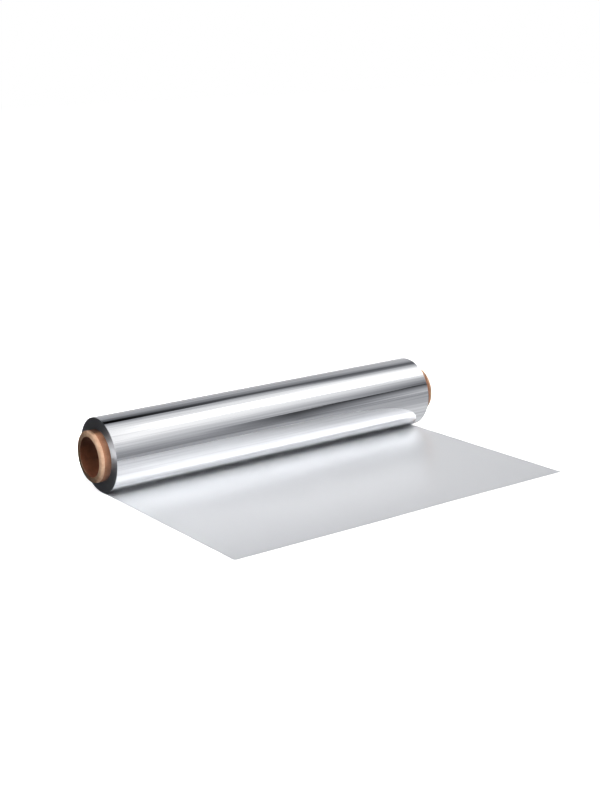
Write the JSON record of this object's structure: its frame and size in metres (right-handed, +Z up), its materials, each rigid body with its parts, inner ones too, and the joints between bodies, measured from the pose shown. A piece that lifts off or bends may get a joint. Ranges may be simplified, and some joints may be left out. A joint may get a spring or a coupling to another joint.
{
  "type": "aluminium foil roll",
  "caption": "Roll of kitchen aluminium foil on a paperboard core, lying on its side with a length of the sheet drawn off flat in front.",
  "frame": {"origin": "on the axis of the core's bore, at the middle of the foil's width", "axes": "+X along the roll's axis to its right end, -Y the way the sheet is drawn off, +Z up; the sheet lies at the roll's lowest line"},
  "size_m": [0.32, 0.214, 0.058],
  "materials": {
    "core_tube": "plain kraft paperboard, spirally wound",
    "foil": "rolled foil, bright outside and satin on the upper side of the drawn sheet"
  },
  "bodies": {
    "root": {"core_tube": "core_tube", "foil": "foil"}
  },
  "joints": []
}
